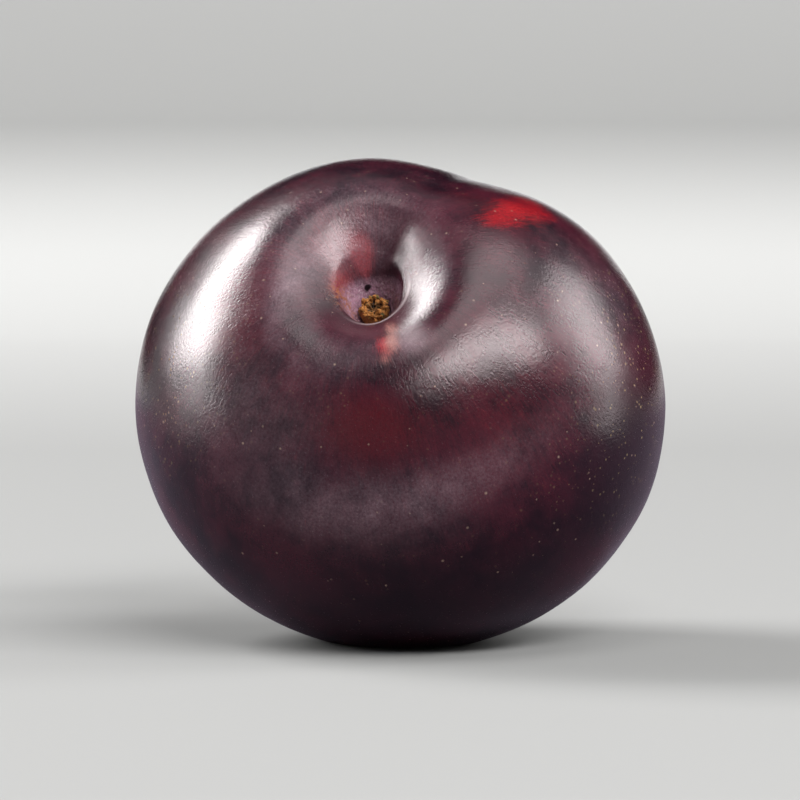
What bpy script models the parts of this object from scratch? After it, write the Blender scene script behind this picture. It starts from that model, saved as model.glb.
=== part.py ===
"""A dark plum with the dried remnant of its stem, as it lies.

Metres, +Z up. The stem cavity is tipped towards -Y. The fruit rests on a small
flat spot at z = 0, with the middle of its outline over the origin.
Both meshes are built in the fruit's own axes: the stem axis is local +Z, and the
suture (the fold that runs from stem to tip) leaves the cavity towards local +X.
"""
import math

import bmesh
import bpy
import numpy as np
from mathutils import Matrix, Vector

MM = 0.001

# Body of the fruit
HALF_WIDTH = 31.0 * MM          # mean radius across the stem axis
HALF_HEIGHT = 27.6 * MM         # centre to shoulder along the stem axis
TOP_HEAVY = 0.6 * MM            # the stem end is a little fuller than the tip
FULLNESS = 0.012                # swelling between equator and shoulder
FLATTENING = 0.026              # narrower across the suture than along it
UNEVEN = 0.004                  # three soft lobes
DRIFT = -0.4 * MM               # the cavity sits a little off the middle

# Stem cavity: a cone with soft edges
CAVITY_RADIUS = 11.1 * MM
CAVITY_LONG = 0.055             # longer along the line to the suture's side
CAVITY_SLOPE = 0.85             # fall of its wall towards the stem
CAVITY_SOFTNESS = 1.8 * MM      # how widely its rim is rounded
CAVITY_SHIFT = -0.2 * MM        # its middle, off the stem
PIT_DEPTH = 2.7 * MM
PIT_SHIFT = (-0.5 * MM, -0.3 * MM)      # its middle, off the stem
PIT_FLOOR_RADIUS = 2.0 * MM
PIT_LIP_RADIUS = 3.8 * MM       # where the pit is steepest
PIT_SPREAD = 2.8 * MM           # how much wider it opens on the other side
PIT_PINCH = 3.0                 # how quickly it narrows again from there
SOCKET_RADIUS = 2.0 * MM        # hole in which the remnant is rooted
SOCKET_FLOOR = 16.6 * MM        # height of its floor on the stem axis

# Suture and the soft crease on the far side of the cavity
NOTCH_DEPTH = 1.9 * MM
NOTCH_ANGLE = 0.42
FOLD_DEPTH = 1.0 * MM           # the suture inside the cavity
FOLD_WIDTH = 2.4 * MM
GROOVE_DEPTH = 0.2 * MM
GROOVE_WIDTH = 1.7 * MM
CREASE_DEPTH = 0.7 * MM
CREASE_ANGLE = 0.5
CHEEK_STEP = 0.3 * MM           # one cheek stands a little higher than the other

# Blossom end
TIP_DIMPLE_DEPTH = 0.5 * MM
TIP_DIMPLE_RADIUS = 3.0 * MM

# Remnant of the stem
STUB_RADIUS = 1.7 * MM
STUB_BOTTOM = 16.9 * MM         # leaves 0.3 mm to the floor of the socket
STUB_TOP = 19.5 * MM

# How the fruit lies
TILT = math.radians(48.0)       # stem axis away from the vertical, towards -Y
SPIN = math.radians(74.0)       # where the suture points, about the stem axis
TURN = math.radians(-12.0)      # the lean turned about the vertical
FLAT_DEPTH = 1.15 * MM          # how much the resting spot takes off the bottom

# Mesh
COLUMNS = 70
CROWDING = 0.55                 # columns closer together beside the suture

SKIN_COLOUR = (0.052, 0.010, 0.018, 1.0)
STUB_COLOUR = (0.19, 0.095, 0.042, 1.0)


def smooth(x, low, high):
    t = np.clip((x - low) / (high - low), 0.0, 1.0)
    return t * t * (3.0 - 2.0 * t)


def hump(x, middle, width):
    return np.exp(-(((x - middle) / width) ** 2))


def skin_points(theta, phi):
    """Points of the skin: theta from the stem end, phi around from the suture."""
    s, c = np.sin(theta), np.cos(theta)
    full = 1.0 + FULLNESS * np.sin(2.0 * theta) ** 2
    lobes = 1.0 + s * s * (
        -FLATTENING * np.cos(2.0 * (phi + 0.05)) + UNEVEN * np.cos(3.0 * (phi - 0.3))
    )
    rho = HALF_WIDTH * s * full * lobes
    z = (HALF_HEIGHT * c + TOP_HEAVY * c * c) * full
    x, y = rho * np.cos(phi), rho * np.sin(phi)
    turn = np.arctan2(np.sin(phi), np.cos(phi))
    back = np.arctan2(-np.sin(phi), -np.cos(phi))

    # share of the suture's side, and how each fold fades along its meridian
    front = 1.0 / (1.0 + np.exp(-x / (2.0 * MM)))
    faint = 0.25 + 0.75 * hump(theta, 0.6, 0.6)
    ends = smooth(np.pi - theta, 0.08, 0.5) * smooth(rho, 8.0 * MM, 15.0 * MM)
    notch = NOTCH_DEPTH * hump(theta, 0.85, 0.55) * hump(turn, 0.0, NOTCH_ANGLE)
    notch = notch * smooth(rho, 9.0 * MM, 19.0 * MM)
    fold = front * FOLD_DEPTH * hump(y, 0.0, FOLD_WIDTH)
    fold = fold * smooth(rho, 3.0 * MM, 6.5 * MM) * (1.0 - smooth(rho, 6.0 * MM, 11.0 * MM))
    groove = front * GROOVE_DEPTH * faint * hump(y, 0.0, GROOVE_WIDTH) * ends
    crease = CREASE_DEPTH * hump(theta, 0.55, 0.4) * hump(back, 0.0, CREASE_ANGLE)
    crease = crease * smooth(rho, 7.0 * MM, 13.0 * MM)
    cheek = front * CHEEK_STEP * faint * ends * np.tanh(y / (3.0 * MM)) * hump(y, 0.0, 9.0 * MM)
    inward = notch + fold + groove + crease - cheek
    nr, nz = s / HALF_WIDTH, c / HALF_HEIGHT
    n = np.hypot(nr, nz)
    rho = rho - inward * nr / n
    z = z - inward * nz / n
    x, y = rho * np.cos(phi), rho * np.sin(phi)

    top = smooth(c, 0.0, 0.3)
    edge = CAVITY_RADIUS * (1.0 + CAVITY_LONG * np.cos(2.0 * (phi - 0.5)))
    reach = (edge - np.hypot(x, y - CAVITY_SHIFT)) / CAVITY_SOFTNESS
    z = z - top * CAVITY_SLOPE * CAVITY_SOFTNESS * np.logaddexp(0.0, reach)
    lip = PIT_LIP_RADIUS + PIT_SPREAD * (0.5 + 0.5 * np.cos(phi - 0.52)) ** PIT_PINCH
    away = np.hypot(x - PIT_SHIFT[0], y - PIT_SHIFT[1])
    z = z - top * PIT_DEPTH * (1.0 - smooth(away, PIT_FLOOR_RADIUS, lip))
    tip = smooth(-c, 0.0, 0.3)
    z = z + tip * TIP_DIMPLE_DEPTH * hump(rho, 0.0, TIP_DIMPLE_RADIUS)
    x = x + DRIFT * c
    return np.stack([x, y, z], axis=-1)


def ring_angles():
    """Angles from the stem end of the rings, from the socket's rim to the tip."""
    pit = np.arcsin(np.linspace(SOCKET_RADIUS, PIT_LIP_RADIUS + 1.2 * MM, 8) / HALF_WIDTH)
    cavity = np.linspace(pit[-1], 0.56, 13)[1:]
    body = np.linspace(0.56, math.pi - 0.16, 34)[1:]
    tip = math.pi - np.array([0.11, 0.07, 0.035])
    return np.concatenate([pit, cavity, body, tip])


def columns():
    u = np.linspace(0.0, 2.0 * math.pi, COLUMNS, endpoint=False)
    return u - CROWDING * np.sin(u)


def skin_over_rings(bm, rings, first, last):
    """Faces over a stack of closed rings, with a point at either end."""
    start, end = bm.verts.new(first), bm.verts.new(last)
    loops = [[bm.verts.new(p) for p in ring] for ring in rings]
    count = len(loops[0])
    for j in range(count):
        k = (j + 1) % count
        bm.faces.new((start, loops[0][j], loops[0][k]))
        bm.faces.new((end, loops[-1][k], loops[-1][j]))
        for upper, lower in zip(loops, loops[1:]):
            bm.faces.new((upper[j], lower[j], lower[k], upper[k]))


def lean():
    """Own axes to the way the fruit lies."""
    return (
        Matrix.Rotation(TURN, 3, "Z")
        @ Matrix.Rotation(TILT, 3, "X")
        @ Matrix.Rotation(SPIN, 3, "Z")
    )


def cut_resting_spot(bm, turn):
    """Flat face across the lowest part of the fruit; returns its height."""
    level = min((turn @ v.co).z for v in bm.verts) + FLAT_DEPTH
    down = turn.inverted() @ Vector((0.0, 0.0, -1.0))
    bmesh.ops.bisect_plane(
        bm, geom=bm.verts[:] + bm.edges[:] + bm.faces[:], dist=0.00008,
        plane_co=-down * level, plane_no=down, use_snap_center=True, clear_outer=True,
    )
    rim = [e for e in bm.edges if e.is_boundary]
    bmesh.ops.edgeloop_fill(bm, edges=rim)
    return level


def finish(bm, name, colour, roughness):
    bmesh.ops.recalc_face_normals(bm, faces=bm.faces[:])
    mesh = bpy.data.meshes.new(name)
    bm.to_mesh(mesh)
    bm.free()
    material = bpy.data.materials.new(name)
    material.use_nodes = True
    shader = material.node_tree.nodes["Principled BSDF"]
    shader.inputs["Base Color"].default_value = colour
    shader.inputs["Roughness"].default_value = roughness
    shader.inputs["Metallic"].default_value = 0.0
    material.diffuse_color = colour
    mesh.materials.append(material)
    thing = bpy.data.objects.new(name, mesh)
    bpy.context.collection.objects.link(thing)
    return thing


def make_fruit(turn):
    phi = columns()
    skin = skin_points(*np.meshgrid(ring_angles(), phi, indexing="ij"))
    # straight socket wall below the first ring of skin, and its level floor
    floor = skin[0].copy()
    floor[:, 2] = SOCKET_FLOOR
    tip = skin_points(np.array([math.pi]), np.array([0.0]))[0]
    bm = bmesh.new()
    skin_over_rings(bm, [floor, *skin], (DRIFT, 0.0, SOCKET_FLOOR), tuple(tip))
    level = cut_resting_spot(bm, turn)
    fruit = finish(bm, "fruit", SKIN_COLOUR, 0.3)
    for face in fruit.data.polygons:
        face.use_smooth = len(face.vertices) < 5
    return fruit, level


def make_stub():
    """Torn, slightly cupped peg, a little uneven around."""
    phi = np.linspace(0.0, 2.0 * math.pi, 28, endpoint=False)
    uneven = 1.0 + 0.05 * np.cos(2.0 * phi + 0.7) + 0.03 * np.cos(3.0 * phi - 1.1)
    lift = 0.18 * MM * np.cos(phi - 2.2) + 0.1 * MM * np.cos(3.0 * phi)
    rise = STUB_TOP - STUB_BOTTOM
    profile = (
        (0.00, 0.86, 0.0), (0.05, 0.92, 0.0), (0.40, 0.95, 0.0), (0.66, 0.98, 0.5),
        (0.86, 0.95, 0.9), (0.96, 0.82, 1.0), (0.97, 0.66, 1.0), (0.86, 0.44, 0.7),
    )
    rings = []
    for height, width, torn in profile:
        radius = STUB_RADIUS * width * uneven
        z = STUB_BOTTOM + height * rise + torn * lift
        rings.append(np.stack([DRIFT + radius * np.cos(phi), radius * np.sin(phi), z], axis=-1))
    bm = bmesh.new()
    skin_over_rings(
        bm, rings, (DRIFT, 0.0, STUB_BOTTOM), (DRIFT, 0.0, STUB_BOTTOM + 0.8 * rise)
    )
    stub = finish(bm, "stem_stub", STUB_COLOUR, 0.85)
    stub.data.polygons.foreach_set("use_smooth", [True] * len(stub.data.polygons))
    return stub


def main():
    for thing in list(bpy.data.objects):
        bpy.data.objects.remove(thing, do_unlink=True)
    turn = lean()
    fruit, level = make_fruit(turn)
    stub = make_stub()

    # the fruit's own axes, leaned over and set down on the resting spot
    seat = bpy.data.objects.new("plum", None)
    bpy.context.collection.objects.link(seat)
    around = [turn @ v.co for v in fruit.data.vertices]
    middle_x = (min(p.x for p in around) + max(p.x for p in around)) / 2.0
    middle_y = (min(p.y for p in around) + max(p.y for p in around)) / 2.0
    seat.rotation_euler = turn.to_euler()
    seat.location = (-middle_x, -middle_y, -level)
    fruit.parent = seat
    stub.parent = seat


main()
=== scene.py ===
import math

import bpy
import numpy as np
from bpy.props import FloatProperty, FloatVectorProperty, IntProperty, PointerProperty
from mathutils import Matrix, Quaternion, Vector


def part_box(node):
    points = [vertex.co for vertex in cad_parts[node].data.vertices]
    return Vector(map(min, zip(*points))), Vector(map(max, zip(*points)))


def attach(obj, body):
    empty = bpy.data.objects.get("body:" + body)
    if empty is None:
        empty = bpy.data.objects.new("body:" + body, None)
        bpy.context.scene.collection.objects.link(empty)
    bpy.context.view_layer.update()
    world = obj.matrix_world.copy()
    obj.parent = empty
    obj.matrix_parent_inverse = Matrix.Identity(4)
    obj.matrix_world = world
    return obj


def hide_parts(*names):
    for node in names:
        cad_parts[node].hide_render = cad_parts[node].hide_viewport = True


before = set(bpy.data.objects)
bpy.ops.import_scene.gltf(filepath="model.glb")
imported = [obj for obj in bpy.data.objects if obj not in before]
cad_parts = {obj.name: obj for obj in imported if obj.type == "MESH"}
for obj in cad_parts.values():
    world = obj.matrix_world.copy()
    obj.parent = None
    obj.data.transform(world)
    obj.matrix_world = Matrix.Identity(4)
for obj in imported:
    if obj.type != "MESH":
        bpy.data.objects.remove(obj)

bl_info = {
    "name": "Dark plum",
    "version": (1, 0, 0),
    "blender": (4, 5, 0),
    "location": "3D View > Sidebar > Plum",
    "description": "A ripe dark plum with waxy skin and the torn remnant of its stem",
    "category": "Add Mesh",
}

MM = 0.001
FRUIT_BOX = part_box("fruit")

# smaller features of the body, in millimetres
CREASE_DEPTH, CHEEK_RISE, TIP_DIMPLE = 0.7, 0.3, 0.5
CAVITY_SOFTNESS, PIT_SLANT = 1.8, 2.8
# how far from the stem axis the mesh is finest, fine, and as wide as over the body
SOCKET_RADIUS, PIT_REACH, CAVITY_REACH = 1.95, 5.2, 16.5
# where the stem's remnant starts along the stem axis, and how tall it is
STEM_FOOT, STEM_RISE = 16.9, 2.6
# how softly the underside meets the floor, in square millimetres
SURFACE_SOFTNESS = 0.02

# Patches of the skin, each a soft hump: weight, angle from the stem end in radians,
# degrees about the stem axis from the suture, and its half width each way.
PATCHES = {
    "blush": (
        (1.2, 0.70, -34.0, 0.11, 10.0), (0.8, 0.84, -35.0, 0.10, 6.0),
        (1.0, 0.56, -39.0, 0.09, 8.0), (1.25, 0.34, -144.5, 0.09, 6.0),
        (0.8, 0.90, -26.0, 0.13, 6.0),
    ),
    "glow": (
        (1.0, 0.70, -157.0, 0.15, 15.0), (0.5, 0.90, -120.0, 0.30, 30.0),
        (0.5, 0.55, 120.0, 0.25, 60.0), (0.5, 2.30, 60.0, 0.50, 70.0),
        (0.5, 0.60, -30.0, 0.15, 25.0),
    ),
    "streak": (
        (0.9, 0.25, -134.0, 0.07, 7.0), (1.0, 0.35, -139.0, 0.06, 5.0),
        (0.5, 0.42, -146.0, 0.06, 4.0),
    ),
    "rosy": (
        (1.3, 0.18, 33.0, 0.055, 11.0), (0.6, 0.125, 100.0, 0.03, 30.0),
        (0.3, 0.30, 50.0, 0.12, 50.0), (0.3, 0.20, 70.0, 0.09, 50.0),
        (0.3, 0.14, 68.0, 0.035, 28.0),
    ),
    # painted shade: the deep skin colour laid in the hollow beside the pit and low on the sides,
    # where shade falls
    "painted_shade": (
        (1.0, 0.13, -18.0, 0.05, 15.0), (0.8, 1.38, -92.0, 0.32, 20.0),
        (0.65, 1.55, -145.0, 0.35, 45.0),
    ),
    "scab": ((0.9, 0.115, 112.0, 0.03, 28.0), (0.7, 0.085, 140.0, 0.025, 30.0)),
    # painted highlights and painted reflections, laid as pale wax haze: in the cavity, on its
    # walls, on its front and as a band low on the body
    "bloom_and_painted_sheen": (
        (1.5, 1.05, -165.0, 0.13, 26.0), (1.1, 0.98, -135.0, 0.09, 26.0),
        (0.4, 0.85, 160.0, 0.25, 30.0), (0.15, 0.60, 120.0, 0.45, 70.0),
        (1.1, 0.20, 50.0, 0.09, 60.0), (0.6, 0.32, 120.0, 0.08, 50.0),
        (0.9, 0.35, 45.0, 0.12, 50.0), (0.6, 0.29, -65.0, 0.06, 45.0),
        (0.45, 0.70, 160.0, 0.25, 25.0), (0.6, 0.36, -165.0, 0.08, 25.0),
        (2.2, 0.38, -128.0, 0.06, 10.0), (0.7, 1.00, -62.0, 0.30, 14.0),
        (0.5, 0.38, 15.0, 0.08, 40.0), (1.3, 0.27, 14.0, 0.035, 17.0),
    ),
    # painted highlight: a thin pale line along the pit's lip, and a short pale stroke on the front
    # of the cavity
    "rim": (
        (1.0, 0.148, -138.0, 0.008, 36.0), (0.8, 0.155, -85.0, 0.008, 25.0),
        (0.4, 0.37, -126.0, 0.05, 8.0),
    ),
    "crowd": (
        (0.9, 1.30, -75.0, 0.35, 30.0), (0.75, 1.00, 115.0, 0.40, 32.0),
        (0.45, 2.20, 20.0, 0.60, 80.0),
    ),
}

# soft panels: name, azimuth, elevation, distance, width, height, radiance, roll
PANELS = (
    ("left_window", -115.0, 32.0, 1.20, 0.51, 0.97, 21.5, 33.0),
    ("left_sill", -98.0, 8.0, 1.20, 0.22, 0.26, 13.0, 33.0),
    ("right_window", 99.0, 29.0, 1.20, 0.47, 0.60, 10.5, -16.0),
    ("right_sill", 93.0, 5.0, 1.20, 0.36, 0.32, 4.5, -16.0),
    ("high_front", 36.0, 41.0, 1.20, 1.20, 0.32, 20.0, 0.0),
    ("overhead", 40.0, 72.0, 1.20, 1.30, 0.50, 4.5, 0.0),
    ("back_strip", 180.0, 2.0, 1.46, 0.73, 0.21, 1.3, 0.0),
)
# felt cards, 0.6 m away: name, azimuth, elevation, width, height
CARDS = (
    ("left_flag", -152.0, 9.0, 0.26, 0.22),
    ("right_flag", 142.0, 14.0, 0.42, 0.32),
    ("far_flag", 172.0, 25.0, 0.70, 0.30),
)


def linear(code):
    """Linear red, green and blue of an sRGB hex colour."""
    parts = [int(code[i:i + 2], 16) / 255.0 for i in (1, 3, 5)]
    return tuple(p / 12.92 if p <= 0.04045 else ((p + 0.055) / 1.055) ** 2.4 for p in parts)


def length(name, description, default):
    return FloatProperty(
        name=name, description=description, default=default * MM, unit="LENGTH",
        subtype="DISTANCE", precision=5,
    )


def colour(name, description, code):
    return FloatVectorProperty(
        name=name, description=description, default=linear(code), subtype="COLOR",
        min=0.0, max=1.0, size=3,
    )


class PlumBody(bpy.types.PropertyGroup):
    half_width: length("Half width", "Mean radius across the stem axis", 31.0)
    half_height: length("Half height", "From the middle to the shoulder", 27.6)
    top_heavy: length("Top heavy", "How much fuller the stem end is", 0.6)
    drift: length("Drift", "How far the cavity sits off the middle", -0.4)
    cavity_radius: length("Cavity radius", "Radius of the wide stem cavity", 11.1)
    cavity_slope: FloatProperty(
        name="Cavity slope", description="Fall of the cavity's wall towards the stem", default=0.85
    )
    pit_depth: length("Pit depth", "How far the pit drops below the cavity", 2.7)
    pit_floor: length("Pit floor", "Radius of the pit's floor", 2.0)
    pit_lip: length("Pit lip", "Radius of the pit's lip where it is steepest", 3.8)
    notch_depth: length("Notch depth", "Depth of the broad fold at the suture", 1.9)
    notch_width: FloatProperty(
        name="Notch width", description="Half width of the broad fold, about the stem axis",
        default=0.42, unit="ROTATION", subtype="ANGLE",
    )
    fold_depth: length("Fold depth", "Depth of the suture inside the cavity", 1.0)
    fold_width: length("Fold width", "Half width of the suture inside the cavity", 2.4)
    groove_depth: length("Groove depth", "Depth of the suture's own groove", 0.2)
    groove_width: length("Groove width", "Half width of the suture's own groove", 1.7)
    flat_depth: length("Flat depth", "What the resting spot takes off the bottom", 1.15)
    tilt: FloatProperty(
        name="Tilt", description="Stem axis away from the vertical",
        default=math.radians(48.0), unit="ROTATION", subtype="ANGLE",
    )
    spin: FloatProperty(
        name="Spin", description="Where the suture points, about the stem axis",
        default=math.radians(74.0), unit="ROTATION", subtype="ANGLE",
    )
    turn: FloatProperty(
        name="Turn", description="The lean turned about the vertical",
        default=math.radians(-12.0), unit="ROTATION", subtype="ANGLE",
    )
    columns: IntProperty(
        name="Columns", description="Points around the fruit", default=320, min=32, max=320
    )


class PlumSkin(bpy.types.PropertyGroup):
    # the deep skin colour also serves as painted shade
    deep: colour("Deep skin", "Colour of the ripest, darkest skin", "#12050e")
    maroon: colour("Maroon skin", "Colour where the skin is thinner", "#3a0f1c")
    glow: colour("Glow", "Red that shows through the shoulder", "#400510")
    rosy: colour("Rosy wall", "Paler red on the cavity's shaded wall", "#7c2a30")
    blush: colour("Blush", "Bright red patch beside the suture", "#840a12")
    salmon: colour("Salmon", "Unripe streak down into the cavity", "#8e6057")
    # the wax colour also carries the painted highlights and reflections
    wax: colour("Wax", "Haze of the bloom", "#75636b")
    lilac: colour("Lilac", "Matt wax in the pit", "#8a6676")
    # the rim colour is a painted highlight on the pit's waxy lip, and also the colour of the wax
    # crystals in the pit
    rim: colour("Rim", "Thin waxy edge of the pit", "#948789")
    dots: colour("Dots", "The pale breathing dots of the skin", "#8f7a6c")
    scab: colour("Scab", "Corky brown fleck on the pit's edge", "#7c4a30")
    gold: colour("Gold", "The finest dots, where they crowd", "#7c6d50")


class PlumStem(bpy.types.PropertyGroup):
    radius: length("Radius", "Radius of the stem's remnant", 1.7)
    crust: colour("Crust", "Dry torn rim", "#a86a2b")
    # the shade colour is painted shade in the cracks and hollow of the crust, and the dark of worn
    # fibre
    shade: colour("Shade", "Cracks in the crust", "#150c07")
    green: colour("Green", "The last of the living stalk", "#5b5a2c")


class PlumStage(bpy.types.PropertyGroup):
    floor: colour("Floor", "The pale floor and wall", "#7d7d7c")
    elevation: FloatProperty(
        name="Elevation", description="Camera above the horizon",
        default=math.radians(5.0), unit="ROTATION", subtype="ANGLE",
    )
    distance: FloatProperty(
        name="Distance", description="Camera to the plum", default=0.86, unit="LENGTH",
        subtype="DISTANCE",
    )
    lens: FloatProperty(
        name="Lens", description="Focal length in millimetres", default=326.0, unit="CAMERA"
    )


def smooth(x, low, high):
    t = np.clip((x - low) / (high - low), 0.0, 1.0)
    return t * t * (3.0 - 2.0 * t)


def hump(x, middle, width):
    return np.exp(-(((x - middle) / width) ** 2))


def skin_points(b, theta, phi):
    """Points of the skin in millimetres: theta from the stem end, phi from the suture."""
    wide, tall = b.half_width / MM, b.half_height / MM
    s, c = np.sin(theta), np.cos(theta)
    full = 1.0 + 0.012 * np.sin(2.0 * theta) ** 2
    lobes = 1.0 + s * s * (
        -0.026 * np.cos(2.0 * (phi + 0.05)) + 0.004 * np.cos(3.0 * (phi - 0.3))
    )
    rho = wide * s * full * lobes
    z = (tall * c + b.top_heavy / MM * c * c) * full
    x, y = rho * np.cos(phi), rho * np.sin(phi)
    turn = np.arctan2(np.sin(phi), np.cos(phi))
    back = np.arctan2(-np.sin(phi), -np.cos(phi))

    front = 1.0 / (1.0 + np.exp(-x / 2.0))
    faint = 0.25 + 0.75 * hump(theta, 0.6, 0.6)
    ends = smooth(np.pi - theta, 0.08, 0.5) * smooth(rho, 8.0, 15.0)
    notch = b.notch_depth / MM * hump(theta, 0.85, 0.55) * hump(turn, 0.0, b.notch_width)
    notch = notch * smooth(rho, 9.0, 19.0)
    fold = front * b.fold_depth / MM * hump(y, 0.0, b.fold_width / MM)
    fold = fold * smooth(rho, 3.0, 6.5) * (1.0 - smooth(rho, 6.0, 11.0))
    groove = front * b.groove_depth / MM * faint * hump(y, 0.0, b.groove_width / MM) * ends
    crease = CREASE_DEPTH * hump(theta, 0.55, 0.4) * hump(back, 0.0, 0.5) * smooth(rho, 7.0, 13.0)
    cheek = front * CHEEK_RISE * faint * ends * np.tanh(y / 3.0) * hump(y, 0.0, 9.0)
    inward = notch + fold + groove + crease - cheek
    nr, nz = s / wide, c / tall
    n = np.hypot(nr, nz)
    rho = rho - inward * nr / n
    z = z - inward * nz / n
    x, y = rho * np.cos(phi), rho * np.sin(phi)

    # the cavity is a cone with soft edges; the pit in it is steepest away from the suture
    top = smooth(c, 0.0, 0.3)
    edge = b.cavity_radius / MM * (1.0 + 0.055 * np.cos(2.0 * (phi - 0.5)))
    reach = (edge - np.hypot(x, y + 0.2)) / CAVITY_SOFTNESS
    z = z - top * b.cavity_slope * CAVITY_SOFTNESS * np.logaddexp(0.0, reach)
    lip = b.pit_lip / MM + PIT_SLANT * (0.5 + 0.5 * np.cos(phi - 0.52)) ** 3.0
    away = np.hypot(x + 0.5, y + 0.3)
    z = z - top * b.pit_depth / MM * (1.0 - smooth(away, b.pit_floor / MM, lip))
    z = z + smooth(-c, 0.0, 0.3) * TIP_DIMPLE * hump(rho, 0.0, 3.0)
    x = x + b.drift / MM * c
    return np.stack([x, y, z], axis=-1)


def waves(points, across, seed, count=24):
    """Soft seeded noise, about -1 to 1, whose swells are about across wide."""
    rng = np.random.default_rng(seed)
    way = rng.normal(size=(count, 3))
    way /= np.linalg.norm(way, axis=1, keepdims=True)
    pace = 2.0 * np.pi / across * rng.uniform(0.6, 1.5, count)
    start = rng.uniform(0.0, 2.0 * np.pi, count)
    total = np.zeros(points.shape[:-1])
    for w, p, o in zip(way, pace, start):
        total += np.sin(points @ (w * p) + o)
    return total / math.sqrt(count / 2.0) / 1.6


def grid_normals(points):
    """Outward normals of a grid of rings (first axis) and columns (second)."""
    down = np.gradient(points, axis=0)
    around = np.roll(points, -1, 1) - np.roll(points, 1, 1)
    n = np.cross(down, around)
    return n / (np.linalg.norm(n, axis=-1, keepdims=True) + 1e-12)


def own_to_world(b):
    """Turns the fruit's own axes to the way it lies."""
    def about(axis, angle):
        c, s = math.cos(angle), math.sin(angle)
        if axis == "Z":
            return np.array([[c, -s, 0.0], [s, c, 0.0], [0.0, 0.0, 1.0]])
        return np.array([[1.0, 0.0, 0.0], [0.0, c, -s], [0.0, s, c]])

    return about("Z", b.turn) @ about("X", b.tilt) @ about("Z", b.spin)


def seat(b, own):
    """World places in metres of own points in millimetres, set on the CAD's box."""
    turn = own_to_world(b)
    theta = np.linspace(0.0, math.pi, 240)
    phi = np.linspace(0.0, 2.0 * math.pi, 240)
    body = skin_points(b, *np.meshgrid(theta, phi, indexing="ij")).reshape(-1, 3) @ turn.T
    low, high = FRUIT_BOX
    shift = np.array([
        (low.x + high.x) / 2 / MM - (body[:, 0].min() + body[:, 0].max()) / 2,
        (low.y + high.y) / 2 / MM - (body[:, 1].min() + body[:, 1].max()) / 2,
        low.z / MM - body[:, 2].min() - b.flat_depth / MM,
    ])
    return (own @ turn.T + shift) * MM


def rest(world):
    """Lets what would sink through the resting surface spread on it, with a soft edge."""
    z = world[..., 2] / MM
    world[..., 2] = 0.5 * (z + np.sqrt(z * z + SURFACE_SOFTNESS)) * MM
    return world


def ring_mesh(name, world, first, last, values):
    """A closed body over rings of points, with a point at either end, and its named
    values for each point (numbers or vectors)."""
    rings, columns = world.shape[:2]
    points = np.vstack([first[0], world.reshape(-1, 3), last[0]])
    j = np.arange(columns)
    k = (j + 1) % columns
    start = 1 + np.arange(rings - 1)[:, None] * columns
    quads = np.stack([start + j, start + columns + j, start + columns + k, start + k], -1)
    tip = 1 + rings * columns
    faces = quads.reshape(-1, 4).tolist()
    faces += np.stack([np.zeros_like(j), 1 + j, 1 + k], -1).tolist()
    last_ring = 1 + (rings - 1) * columns
    faces += np.stack([np.full_like(j, tip), last_ring + k, last_ring + j], -1).tolist()
    mesh = bpy.data.meshes.new(name)
    mesh.from_pydata(points.tolist(), [], faces)
    mesh.polygons.foreach_set("use_smooth", [True] * len(mesh.polygons))
    for key, (value, at_first, at_last) in values.items():
        kind = "FLOAT_VECTOR" if value.ndim == 3 else "FLOAT"
        flat = np.concatenate([
            np.ravel(at_first), value.reshape(-1), np.ravel(at_last)
        ]).astype(np.float32)
        field = "vector" if kind == "FLOAT_VECTOR" else "value"
        mesh.attributes.new(key, kind, "POINT").data.foreach_set(field, flat)
    mesh.update()
    thing = bpy.data.objects.new(name, mesh)
    bpy.context.scene.collection.objects.link(thing)
    return thing


def fruit_rings(b):
    """Angles from the stem end: close together in the pit, wider over the body."""
    wide = b.half_width / MM
    pit = np.arcsin(np.linspace(SOCKET_RADIUS, PIT_REACH, 34) / wide)
    cavity = np.arcsin(np.linspace(PIT_REACH, CAVITY_REACH, 50)[1:] / wide)
    body = np.linspace(cavity[-1], math.pi - 0.02, 198)[1:]
    return np.concatenate([pit, cavity, body])


def patch(theta, phi, at, around, tall, wide):
    """A soft hump on the skin, placed by its angles from the stem end and the suture."""
    turn = np.angle(np.exp(1j * (phi - math.radians(around))))
    return hump(theta, at, tall) * hump(turn, 0.0, math.radians(wide))


def skin_masks(theta, phi, rho):
    """Where the skin is red, pale, waxy, scarred or dotted, and where highlights, reflections and
    shade are painted: a number for each point.
    """
    masks = {
        name: sum(weight * patch(theta, phi, *where) for weight, *where in patches)
        for name, patches in PATCHES.items()
    }
    # a painted highlight: a pale arc of wax colour inside the cavity, lying further out as it comes
    # round
    arc = 0.24 + 0.23 * smooth(np.degrees(phi % (2.0 * math.pi)), 90.0, 172.0)
    turn = np.angle(np.exp(1j * (phi - 1.9)))
    masks["bloom_and_painted_sheen"] = masks["bloom_and_painted_sheen"] + 1.5 * hump(theta, arc, 0.055) * hump(turn, 0.0, 1.0)
    # the nick in the pit is a crescent: one spot with a smaller one taken out of it
    bite = patch(theta, phi, 0.094, 30.0, 0.007, 8.0)
    masks["nick"] = patch(theta, phi, 0.100, 36.0, 0.009, 9.0) * (1.0 - bite)
    masks["pit"] = (theta < 1.4) * (1.0 - smooth(rho, 2.9, 4.1))
    masks["scar"] = hump(math.pi - theta, 0.0, 0.05)
    return masks


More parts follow.
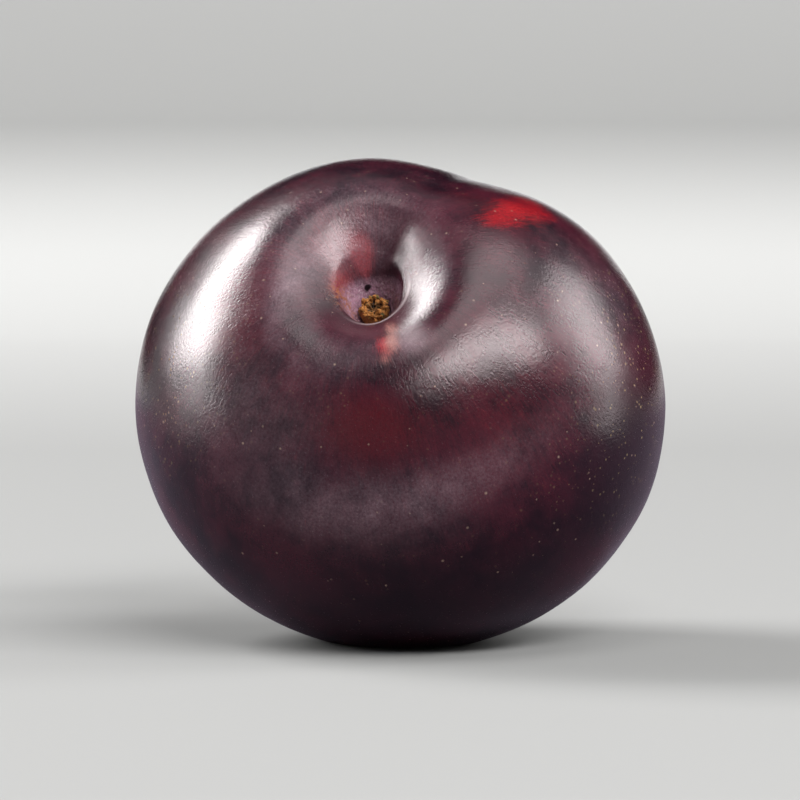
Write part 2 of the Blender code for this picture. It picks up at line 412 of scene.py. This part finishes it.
def make_fruit_mesh(b):
    phi = np.linspace(0.0, 2.0 * math.pi, b.columns, endpoint=False)
    phi = phi - 0.3 * np.sin(phi)
    theta, phi = np.meshgrid(fruit_rings(b), phi, indexing="ij")
    own = skin_points(b, theta, phi)
    rho = np.hypot(own[..., 0] - b.drift / MM, own[..., 1])
    normal = grid_normals(own)

    # slow and small swells of the flesh, and wrinkles that run down the pit
    fan = np.stack([np.cos(phi), np.sin(phi), theta], -1)
    relief = 0.08 * waves(own, 15.0, 11) + 0.010 * waves(own, 5.5, 12)
    inside = (theta < 1.0) * (1.0 - smooth(rho, 3.0, 4.6))
    pleats = np.stack([fan[..., 0] * 4.0, fan[..., 1] * 4.0, own[..., 2] * 0.25], -1)
    relief += inside * (0.06 * waves(pleats, 2.2, 14) + 0.04 * waves(own, 0.8, 15))
    own = own + normal * relief[..., None]

    # socket wall and floor under the stem's remnant
    wall = own[:1].copy()
    floor = own[:1].copy()
    wall[..., 2] -= 0.45
    floor[..., 2] -= 0.9
    own = np.concatenate([floor, wall, own])
    fan = np.concatenate([fan[:1], fan[:1], fan])
    theta = np.concatenate([theta[:1], theta[:1], theta])
    phi = np.concatenate([phi[:1], phi[:1], phi])
    rho = np.concatenate([rho[:1], rho[:1], rho])
    socket = np.array([[b.drift / MM, 0.0, float(floor[..., 2].mean())]])
    tip = skin_points(b, np.array([math.pi]), np.array([0.0]))

    values = {
        "own": (own, socket, tip),
        "fan": (fan, np.array([0.0, 0.0, 0.0]), np.array([0.0, 0.0, math.pi])),
    }
    for name, mask in skin_masks(theta, phi, rho).items():
        at_socket, at_tip = float(name == "pit"), float(name == "scar")
        values[name] = (mask, np.array([at_socket]), np.array([at_tip]))
    world = rest(seat(b, own))
    return ring_mesh("plum_skin", world, seat(b, socket), rest(seat(b, tip)), values)


def make_stem_mesh(b, stem):
    """Torn crust of the stalk: a ragged ring round a crumbled middle."""
    around, steps = 120, 44
    phi = np.linspace(0.0, 2.0 * math.pi, around, endpoint=False)
    outline = np.array([
        (0.00, 0.80), (0.05, 0.90), (0.30, 0.94), (0.55, 0.97), (0.76, 1.00), (0.90, 0.95),
        (0.97, 0.86), (1.00, 0.76), (0.96, 0.66), (0.86, 0.56), (0.74, 0.46), (0.64, 0.34),
        (0.60, 0.20), (0.60, 0.08),
    ])
    along = np.linspace(0.0, 1.0, len(outline))
    t = np.linspace(0.0, 1.0, steps)
    height = np.interp(t, along, outline[:, 0])[:, None]
    width = np.interp(t, along, outline[:, 1])[:, None]
    radius = stem.radius / MM * width * (1.0 + 0.05 * np.cos(2.0 * phi + 0.7))
    up = STEM_FOOT + STEM_RISE * height + 0.0 * phi
    place = np.stack([b.drift / MM + radius * np.cos(phi), radius * np.sin(phi), up], -1)
    # the crust is torn where it stands free: uneven height, crumbs and cracks
    free = smooth(height, 0.35, 0.75) + 0.0 * phi
    circle = np.stack([np.cos(phi) * 1.6, np.sin(phi) * 1.6, 0.0 * phi], -1)
    torn = waves(circle, 1.5, 21) + 0.5 * waves(circle, 0.6, 22)
    place[..., 2] += free * 0.34 * torn[None, :]
    crumbs = 0.16 * waves(place, 0.9, 23) + 0.09 * waves(place, 0.42, 24)
    crack = np.abs(waves(place * [1.0, 1.0, 0.5], 1.1, 25))
    crack = np.exp(-((crack / 0.16) ** 2)) * free
    normal = grid_normals(place)
    outward = np.sign(normal[10, 0, 0])
    place = place + outward * normal * (free * crumbs - 0.22 * crack)[..., None]
    # painted shade: near black in the cracks and down inside the torn ring, where the crust dips
    depth = np.clip(0.9 * crack + 0.8 * (1.0 - smooth(width, 0.3, 0.7)) * free, 0.0, 1.0)
    first = np.array([[b.drift / MM, 0.0, STEM_FOOT]])
    last = place[-1:].mean(axis=1)
    values = {
        "own": (place, first, last),
        "deep": (depth, np.array([0.0]), np.array([1.0])),
    }
    return ring_mesh("stem_remnant", seat(b, place), seat(b, first), seat(b, last), values)


ATTRIBUTE, MATH, NOISE = "ShaderNodeAttribute", "ShaderNodeMath", "ShaderNodeTexNoise"
RANGE, MIX, CELLS = "ShaderNodeMapRange", "ShaderNodeMix", "ShaderNodeTexVoronoi"


def add(tree, kind, inputs=None, out=0, **settings):
    """Adds one node with its settings and links, and gives the output asked for."""
    node = tree.nodes.new(kind)
    for key, value in settings.items():
        setattr(node, key, value)
    for key, value in (inputs or {}).items():
        if isinstance(value, bpy.types.NodeSocket):
            tree.links.new(value, node.inputs[key])
        else:
            node.inputs[key].default_value = value
    return node.outputs[out] if len(node.outputs) else node


def blank_material(name):
    material = bpy.data.materials.new(name)
    material.use_nodes = True
    material.node_tree.nodes.clear()
    return material, material.node_tree


def opaque(rgb):
    return (*rgb, 1.0)


def skin_patterns(tree):
    """The patterns that colour, wax and relief share. The place on the fruit is in
    millimetres, so a scale is one over a fleck's size."""
    own = add(tree, ATTRIBUTE, out="Vector", attribute_name="own")
    fan = add(tree, ATTRIBUTE, out="Vector", attribute_name="fan")
    cloud = add(tree, NOISE, {"Vector": own, "Scale": 0.32, "Detail": 4.0, "Roughness": 0.6})
    # hairlines from stem to tip, about 0.4 mm across and 1.7 mm long
    way = add(
        tree, "ShaderNodeVectorMath", {0: fan, 1: (31.0, 31.0, 8.0)}, operation="MULTIPLY"
    )
    hair = add(
        tree, NOISE,
        {"Vector": way, "Scale": 2.2, "Detail": 3.0, "Roughness": 0.6, "Distortion": 0.7},
    )
    return {
        "own": own,
        "pit": add(tree, ATTRIBUTE, out="Fac", attribute_name="pit"),
        # slow change of ripeness over some 11 mm, and clouds of 3 mm
        "veil": add(tree, NOISE, {"Vector": own, "Scale": 0.09, "Detail": 3.0, "Roughness": 0.5}),
        "cloud": cloud,
        "patchy": add(tree, MATH, {0: cloud, 1: 0.9, 2: -0.45}, operation="MULTIPLY_ADD"),
        "hair": hair,
        # grain of the wax, 0.3 mm
        "grain": add(tree, NOISE, {"Vector": own, "Scale": 3.2, "Detail": 3.0, "Roughness": 0.6}),
        # fine stipple of the colour cells, drawn coarser (0.2 mm) than the real 0.1 mm
        "fine": add(tree, NOISE, {"Vector": own, "Scale": 4.5, "Detail": 2.0, "Roughness": 0.6}),
    }


def flesh_colour(tree, skin, p):
    """Dark skin over red flesh, with ragged patches that are redder or paler, and darker patches of
    painted shade in the deep skin colour.
    """
    thin = add(tree, MATH, {0: p["veil"], 1: 0.7}, operation="MULTIPLY")
    thin = add(tree, MATH, {0: p["cloud"], 1: 0.4, 2: thin}, operation="MULTIPLY_ADD")
    thin = add(tree, MATH, {0: p["hair"], 1: 0.25, 2: thin}, operation="MULTIPLY_ADD")
    ripe = add(
        tree, RANGE, {"Value": thin, "From Min": 0.5, "From Max": 0.86},
        interpolation_type="SMOOTHSTEP",
    )
    base = add(
        tree, MIX, {0: ripe, 6: opaque(skin.deep), 7: opaque(skin.maroon)}, 2, data_type="RGBA"
    )
    # the hairlines and the clouds make the patches' edges ragged
    ragged = add(tree, MATH, {0: p["hair"], 1: 1.3, 2: -0.65}, operation="MULTIPLY_ADD")
    ragged = add(tree, MATH, {0: ragged, 1: p["patchy"]}, operation="ADD")
    for name, loose, low, high, most, shade in (
        ("glow", 0.5, 0.1, 1.0, 0.95, skin.glow),
        ("rosy", 0.7, 0.1, 1.0, 0.9, skin.rosy),
        # painted shade, in the deep skin colour
        ("painted_shade", 0.3, 0.1, 0.9, 0.9, skin.deep),
        ("blush", 1.0, 0.3, 1.7, 1.0, skin.blush),
        ("streak", 0.6, 0.15, 1.3, 0.9, skin.salmon),
    ):
        where = add(tree, ATTRIBUTE, out="Fac", attribute_name=name)
        where = add(tree, MATH, {0: ragged, 1: loose, 2: where}, operation="MULTIPLY_ADD")
        where = add(
            tree, RANGE, {"Value": where, "From Min": low, "From Max": high, "To Max": most},
            interpolation_type="SMOOTHSTEP",
        )
        base = add(tree, MIX, {0: where, 6: base, 7: opaque(shade)}, 2, data_type="RGBA")
    dark = add(
        tree, RANGE,
        {"Value": p["fine"], "From Min": 0.35, "From Max": 0.65, "To Min": 0.35, "To Max": 0.0},
    )
    return add(tree, MIX, {0: dark, 6: base, 7: opaque(skin.deep)}, 2, data_type="RGBA")


def wax_painted_sheen_and_scars(tree, skin, p, base):
    """A thin uneven haze of wax, thickest in the matt lilac pit, that also carries painted
    highlights and reflections in the cavity and a painted reflection low on the body; and the marks
    of the pit.
    """
    pit = p["pit"]
    wax = add(
        tree, RANGE,
        {"Value": p["cloud"], "From Min": 0.3, "From Max": 0.8, "To Min": 0.3, "To Max": 1.0},
    )
    wax = add(tree, MATH, {0: wax, 1: p["grain"]}, operation="MULTIPLY")
    # the haze is mostly painted highlight and painted reflection, over a faint even wax
    bloom_and_painted_sheen = add(tree, ATTRIBUTE, out="Fac", attribute_name="bloom_and_painted_sheen")
    bloom_and_painted_sheen = add(tree, MATH, {0: bloom_and_painted_sheen, 1: 0.60, 2: 0.02}, operation="MULTIPLY_ADD")
    haze = add(tree, MATH, {0: wax, 1: bloom_and_painted_sheen}, operation="MULTIPLY")
    base = add(tree, MIX, {0: haze, 6: base, 7: opaque(skin.wax)}, 2, data_type="RGBA")
    matt = add(
        tree, RANGE,
        {"Value": p["grain"], "From Min": 0.35, "From Max": 0.6, "To Min": 0.55, "To Max": 1.0},
    )
    matt = add(tree, MATH, {0: matt, 1: pit}, operation="MULTIPLY")
    base = add(tree, MIX, {0: matt, 6: base, 7: opaque(skin.lilac)}, 2, data_type="RGBA")
    # crystals of wax in the pit, 0.2 mm, and corky brown flecks on its edge, 0.4 mm
    pale = add(tree, RANGE, {"Value": p["fine"], "From Min": 0.54, "From Max": 0.66, "To Max": 0.6})
    pale = add(tree, MATH, {0: pale, 1: pit}, operation="MULTIPLY")
    base = add(tree, MIX, {0: pale, 6: base, 7: opaque(skin.rim)}, 2, data_type="RGBA")
    cork = add(tree, NOISE, {"Vector": p["own"], "Scale": 2.6, "Detail": 3.0, "Roughness": 0.7})
    cork = add(tree, RANGE, {"Value": cork, "From Min": 0.47, "From Max": 0.56})
    scab = add(tree, ATTRIBUTE, out="Fac", attribute_name="scab")
    cork = add(tree, MATH, {0: cork, 1: scab}, operation="MULTIPLY", use_clamp=True)
    base = add(tree, MIX, {0: cork, 6: base, 7: opaque(skin.scab)}, 2, data_type="RGBA")
    # the pit's thin pale edge, a painted highlight on the wax of its lip, and the dark nick in it
    rim = add(tree, ATTRIBUTE, out="Fac", attribute_name="rim")
    rim = add(tree, MATH, {0: rim, 1: 0.8}, operation="MULTIPLY", use_clamp=True)
    base = add(tree, MIX, {0: rim, 6: base, 7: opaque(skin.rim)}, 2, data_type="RGBA")
    nick = add(tree, ATTRIBUTE, out="Fac", attribute_name="nick")
    nick = add(tree, RANGE, {"Value": nick, "From Min": 0.25, "From Max": 0.5})
    return add(tree, MIX, {0: nick, 6: base, 7: opaque(skin.deep)}, 2, data_type="RGBA")


def spots(tree, own, scale, smallest, largest, strength):
    """Round spots strewn over the fruit: each cell of the pattern draws its own size, and
    about a third of them draw the smallest."""
    cells = {"Vector": own, "Scale": scale, "Randomness": 1.0}
    away = add(tree, CELLS, cells, "Distance")
    size = add(tree, "ShaderNodeSeparateColor", {0: add(tree, CELLS, cells, "Color")})
    size = add(
        tree, RANGE,
        {"Value": size, "From Min": 0.35, "From Max": 1.0, "To Min": smallest, "To Max": largest},
    )
    spot = add(tree, MATH, {0: away, 1: size}, operation="DIVIDE")
    return add(
        tree, RANGE,
        {"Value": spot, "From Min": 0.4, "From Max": 1.1, "To Min": strength, "To Max": 0.0},
    )


def breathing_dots(tree, skin, p, base):
    """Pale dots up to 0.3 mm across, some 1.6 mm apart, and golden ones 0.6 mm apart where
    they crowd. Gives the colour and the pale dots themselves, which also stand up."""
    clear = add(tree, MATH, {0: 1.0, 1: p["pit"]}, operation="SUBTRACT")
    faint = add(
        tree, RANGE,
        {"Value": p["cloud"], "From Min": 0.3, "From Max": 0.7, "To Min": 0.3, "To Max": 1.0},
    )
    dot = spots(tree, p["own"], 0.62, 0.02, 0.125, 1.0)
    dot = add(tree, MATH, {0: dot, 1: faint}, operation="MULTIPLY")
    dot = add(tree, MATH, {0: dot, 1: clear}, operation="MULTIPLY")
    shown = add(tree, MATH, {0: dot, 1: 0.8}, operation="MULTIPLY")
    base = add(tree, MIX, {0: shown, 6: base, 7: opaque(skin.dots)}, 2, data_type="RGBA")
    crowd = add(tree, ATTRIBUTE, out="Fac", attribute_name="crowd")
    crowd = add(
        tree, MATH, {0: p["patchy"], 1: 1.2, 2: crowd}, operation="MULTIPLY_ADD", use_clamp=True
    )
    speck = spots(tree, p["own"], 1.7, 0.05, 0.36, 0.8)
    speck = add(tree, MATH, {0: speck, 1: crowd}, operation="MULTIPLY")
    return add(tree, MIX, {0: speck, 6: base, 7: opaque(skin.gold)}, 2, data_type="RGBA"), dot


def skin_relief(tree, p, dot):
    """Relief in millimetres: orange peel, grain of the wax, hairlines, stipple, raised dots."""
    height = add(tree, NOISE, {"Vector": p["own"], "Scale": 0.7, "Detail": 2.0, "Roughness": 0.5})
    height = add(tree, MATH, {0: height, 1: 0.014}, operation="MULTIPLY")
    # the grain is three times as deep in the dusty pit
    dusty = add(tree, MATH, {0: p["pit"], 1: 0.06, 2: 0.030}, operation="MULTIPLY_ADD")
    for pattern, depth in (
        (p["grain"], dusty), (p["hair"], 0.019), (p["fine"], 0.017), (dot, 0.003)
    ):
        height = add(tree, MATH, {0: pattern, 1: depth, 2: height}, operation="MULTIPLY_ADD")
    return add(tree, "ShaderNodeBump", {"Strength": 1.0, "Distance": MM, "Height": height})


def ripe_plum_skin(skin):
    """Plum skin: a thin smooth skin, dark purple over red flesh, grown with a film of wax.
    The eye sees near-black with red where the skin is thin, soft broad highlights whose
    edges are grainy from the wax, hairlines that run from stem to tip, and pale dots."""
    material, tree = blank_material("ripe_plum_skin")
    p = skin_patterns(tree)
    base = flesh_colour(tree, skin, p)
    base = wax_painted_sheen_and_scars(tree, skin, p, base)
    base, dot = breathing_dots(tree, skin, p, base)
    # dried blossom scar at the tip
    scar = add(tree, ATTRIBUTE, out="Fac", attribute_name="scar")
    base = add(tree, MIX, {0: scar, 6: base, 7: opaque(skin.dots)}, 2, data_type="RGBA")
    rough = add(tree, MATH, {0: p["grain"], 1: 0.18, 2: 0.15}, operation="MULTIPLY_ADD")
    rough = add(tree, MATH, {0: p["pit"], 1: 0.3, 2: rough}, operation="MULTIPLY_ADD")
    bump = skin_relief(tree, p, dot)
    shader = add(
        tree, "ShaderNodeBsdfPrincipled",
        {"Base Color": base, "Roughness": rough, "Normal": bump, "IOR": 1.37,
         "Specular Tint": opaque(linear("#ffebec")), "Coat Weight": 0.30,
         "Coat Roughness": 0.12, "Coat IOR": 1.41, "Coat Normal": bump},
    )
    add(tree, "ShaderNodeOutputMaterial", {"Surface": shader})
    return material


def dry_torn_stalk(stem):
    """Dried plum stalk, torn off: cork-like fibre. Matt tan crust with a trace of olive green where
    the stalk was alive last; its cracks and the hollow inside the torn ring are near black, and
    that darkness is painted shade."""
    material, tree = blank_material("dry_torn_stalk")
    own = add(tree, ATTRIBUTE, out="Vector", attribute_name="own")
    deep = add(tree, ATTRIBUTE, out="Fac", attribute_name="deep")
    coarse = add(tree, NOISE, {"Vector": own, "Scale": 1.6, "Detail": 3.0})
    fibre = add(tree, NOISE, {"Vector": own, "Scale": 5.5, "Detail": 4.0, "Roughness": 0.7})
    green = add(tree, RANGE, {"Value": coarse, "From Min": 0.54, "From Max": 0.68})
    base = add(
        tree, MIX, {0: green, 6: opaque(stem.crust), 7: opaque(stem.green)}, 2, data_type="RGBA"
    )
    worn = add(
        tree, RANGE,
        {"Value": fibre, "From Min": 0.33, "From Max": 0.58, "To Min": 0.75, "To Max": 0.0},
    )
    # the darker of the worn fibre and the painted shade in the cracks and hollow
    dark = add(tree, MATH, {0: worn, 1: deep}, operation="MAXIMUM")
    base = add(tree, MIX, {0: dark, 6: base, 7: opaque(stem.shade)}, 2, data_type="RGBA")
    bump = add(tree, "ShaderNodeBump", {"Strength": 1.0, "Distance": 0.12 * MM, "Height": fibre})
    shader = add(
        tree, "ShaderNodeBsdfPrincipled", {"Base Color": base, "Roughness": 0.8, "Normal": bump}
    )
    add(tree, "ShaderNodeOutputMaterial", {"Surface": shader})
    return material


def painted_card(stage):
    """Matt painted card, sprayed: pale grey, faintly uneven where the spray overlapped."""
    material, tree = blank_material("painted_card")
    place = add(tree, "ShaderNodeTexCoord", out="Object")
    cloud = add(tree, NOISE, {"Vector": place, "Scale": 2.0, "Detail": 2.0})
    shade = add(tree, RANGE, {"Value": cloud, "To Min": 0.97, "To Max": 1.03})
    base = add(
        tree, "ShaderNodeVectorMath", {0: stage.floor[:], "Scale": shade}, operation="SCALE"
    )
    shader = add(
        tree, "ShaderNodeBsdfPrincipled",
        {"Base Color": base, "Roughness": 0.9, "Specular IOR Level": 0.2},
    )
    add(tree, "ShaderNodeOutputMaterial", {"Surface": shader})
    return material


class PLUM_OT_fruit(bpy.types.Operator):
    """Make the skin of the fruit over its CAD solid"""
    bl_idname = "plum.fruit"
    bl_label = "Fruit"

    def execute(self, context):
        piece = make_fruit_mesh(context.scene.plum_body)
        piece.data.materials.append(ripe_plum_skin(context.scene.plum_skin))
        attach(piece, "root")
        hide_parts("fruit")
        return {"FINISHED"}


class PLUM_OT_stem(bpy.types.Operator):
    """Make the torn remnant of the stem in the pit"""
    bl_idname = "plum.stem"
    bl_label = "Stem remnant"

    def execute(self, context):
        piece = make_stem_mesh(context.scene.plum_body, context.scene.plum_stem)
        piece.data.materials.append(dry_torn_stalk(context.scene.plum_stem))
        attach(piece, "root")
        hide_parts("stem_stub")
        return {"FINISHED"}


def make_sweep(stage):
    """Round floor that curves up into a wall on all sides."""
    floor, bend, top, columns = 1.25, 0.45, 1.6, 96
    turn = np.linspace(0.0, math.pi / 2.0, 48)
    profile = [(r, 0.0) for r in (0.3, 0.8)]
    profile += [(floor + bend * math.sin(a), bend * (1.0 - math.cos(a))) for a in turn]
    profile += [(floor + bend, top)]
    phi = np.linspace(0.0, 2.0 * math.pi, columns, endpoint=False)
    points, faces = [(0.0, 0.0, 0.0)], []
    for r, z in profile:
        points += [(r * math.cos(a), r * math.sin(a), z) for a in phi]
    for j in range(columns):
        k = (j + 1) % columns
        faces.append((0, 1 + j, 1 + k))
        for i in range(len(profile) - 1):
            ring = 1 + i * columns
            faces.append((ring + j, ring + columns + j, ring + columns + k, ring + k))
    mesh = bpy.data.meshes.new("sweep")
    mesh.from_pydata(points, [], faces)
    mesh.polygons.foreach_set("use_smooth", [True] * len(mesh.polygons))
    sweep = bpy.data.objects.new("sweep", mesh)
    bpy.context.scene.collection.objects.link(sweep)
    mesh.materials.append(painted_card(stage))


def toward(azimuth, elevation):
    """Direction to a place: azimuth to the right of the camera, elevation above the floor."""
    a, e = math.radians(azimuth), math.radians(elevation)
    return Vector((math.sin(a) * math.cos(e), -math.cos(a) * math.cos(e), math.sin(e)))


def softbox(name, azimuth, elevation, distance, width, height, radiance, aim, roll):
    """A soft panel light that faces the plum, rolled about its own middle."""
    way = toward(azimuth, elevation)
    lamp = bpy.data.lights.new(name, "AREA")
    lamp.shape, lamp.size, lamp.size_y = "RECTANGLE", width, height
    lamp.energy = radiance * math.pi * width * height
    thing = bpy.data.objects.new(name, lamp)
    thing.location = aim + way * distance
    turn = way.to_track_quat("Z", "Y") @ Quaternion((0.0, 0.0, 1.0), math.radians(roll))
    thing.rotation_euler = turn.to_euler()
    thing.visible_camera = False
    bpy.context.scene.collection.objects.link(thing)
    return thing


def pressed_felt(code):
    """Pressed wool felt, matt all over: it gives back little light and no gleam."""
    material, tree = blank_material("pressed_felt")
    shader = add(
        tree, "ShaderNodeBsdfPrincipled",
        {"Base Color": opaque(linear(code)), "Roughness": 1.0, "Specular IOR Level": 0.0},
    )
    add(tree, "ShaderNodeOutputMaterial", {"Surface": shader})
    return material


def felt_card(name, azimuth, elevation, distance, width, height, aim, code):
    """A felt card beside the plum that only its gloss sees: it darkens the glossy edge."""
    w, h = width / 2.0, height / 2.0
    corners = [(-w, -h, 0.0), (w, -h, 0.0), (w, h, 0.0), (-w, h, 0.0)]
    mesh = bpy.data.meshes.new(name)
    mesh.from_pydata(corners, [], [(0, 1, 2, 3)])
    mesh.materials.append(pressed_felt(code))
    card = bpy.data.objects.new(name, mesh)
    way = toward(azimuth, elevation)
    card.location = aim + way * distance
    card.rotation_euler = way.to_track_quat("Z", "Y").to_euler()
    card.visible_camera = card.visible_diffuse = card.visible_shadow = False
    bpy.context.scene.collection.objects.link(card)


def fill_light(scene, strength):
    """Even white light from all round."""
    world = bpy.data.worlds.new("studio")
    world.use_nodes = True
    background = world.node_tree.nodes["Background"]
    background.inputs["Color"].default_value = (1.0, 1.0, 1.0, 1.0)
    background.inputs["Strength"].default_value = strength
    scene.world = world
    scene.view_settings.view_transform = "Standard"


def place_camera(scene, stage, aim):
    """A long lens in front of the plum, a little above it."""
    lens = bpy.data.cameras.new("camera")
    lens.sensor_width = 36.0
    lens.lens = stage.lens
    lens.clip_start, lens.clip_end = 0.01, 20.0
    camera = bpy.data.objects.new("camera", lens)
    back = toward(0.0, math.degrees(stage.elevation))
    camera.location = aim + back * stage.distance
    camera.rotation_euler = back.to_track_quat("Z", "Y").to_euler()
    scene.collection.objects.link(camera)
    scene.camera = camera


class PLUM_OT_stage(bpy.types.Operator):
    """Make the pale floor, the soft lights and the camera"""
    bl_idname = "plum.stage"
    bl_label = "Stage"

    def execute(self, context):
        stage = context.scene.plum_stage
        make_sweep(stage)
        low, high = FRUIT_BOX
        aim = Vector(((low.x + high.x) / 2, (low.y + high.y) / 2, (low.z + high.z) / 2))
        for name, azimuth, elevation, distance, width, height, radiance, roll in PANELS:
            softbox(name, azimuth, elevation, distance, width, height, radiance, aim, roll)
        wash = softbox("far_floor", 180.0, 48.0, 0.75, 1.6, 0.3, 14.0, aim, 0.0)
        # this one leans away from the plum, to light the far floor
        wash.rotation_euler = Vector((0.0, -1.0, 0.45)).to_track_quat("Z", "Y").to_euler()
        for name, azimuth, elevation, width, height in CARDS:
            felt_card(name, azimuth, elevation, 0.6, width, height, aim, "#0b0a0b")
        # an apron just above the floor darkens what the underside mirrors
        felt_card("apron", 0.0, -90.0, aim.z - 0.3 * MM, 0.9, 0.9, aim, "#514b55")
        fill_light(context.scene, 0.15)
        place_camera(context.scene, stage, aim)
        return {"FINISHED"}


class PLUM_PT_sidebar(bpy.types.Panel):
    """Plum settings and the operators that make its pieces"""
    bl_idname = "PLUM_PT_sidebar"
    bl_label = "Plum"
    bl_space_type = "VIEW_3D"
    bl_region_type = "UI"
    bl_category = "Plum"

    def draw(self, context):
        for group in ("plum_body", "plum_skin", "plum_stem", "plum_stage"):
            box = self.layout.box()
            settings = getattr(context.scene, group)
            for key in settings.__annotations__:
                box.prop(settings, key)
        for operator in OPERATORS:
            self.layout.operator(operator.bl_idname)


GROUPS = {
    "plum_body": PlumBody, "plum_skin": PlumSkin, "plum_stem": PlumStem, "plum_stage": PlumStage,
}
OPERATORS = (PLUM_OT_fruit, PLUM_OT_stem, PLUM_OT_stage)
CLASSES = (*GROUPS.values(), *OPERATORS, PLUM_PT_sidebar)


def register():
    for cls in CLASSES:
        bpy.utils.register_class(cls)
    for name, cls in GROUPS.items():
        setattr(bpy.types.Scene, name, PointerProperty(type=cls))


def unregister():
    for name in GROUPS:
        delattr(bpy.types.Scene, name)
    for cls in reversed(CLASSES):
        bpy.utils.unregister_class(cls)


def main():
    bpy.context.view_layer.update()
    register()
    bpy.ops.plum.fruit()
    bpy.ops.plum.stem()
    bpy.ops.plum.stage()


if __name__ == "__main__":
    main()
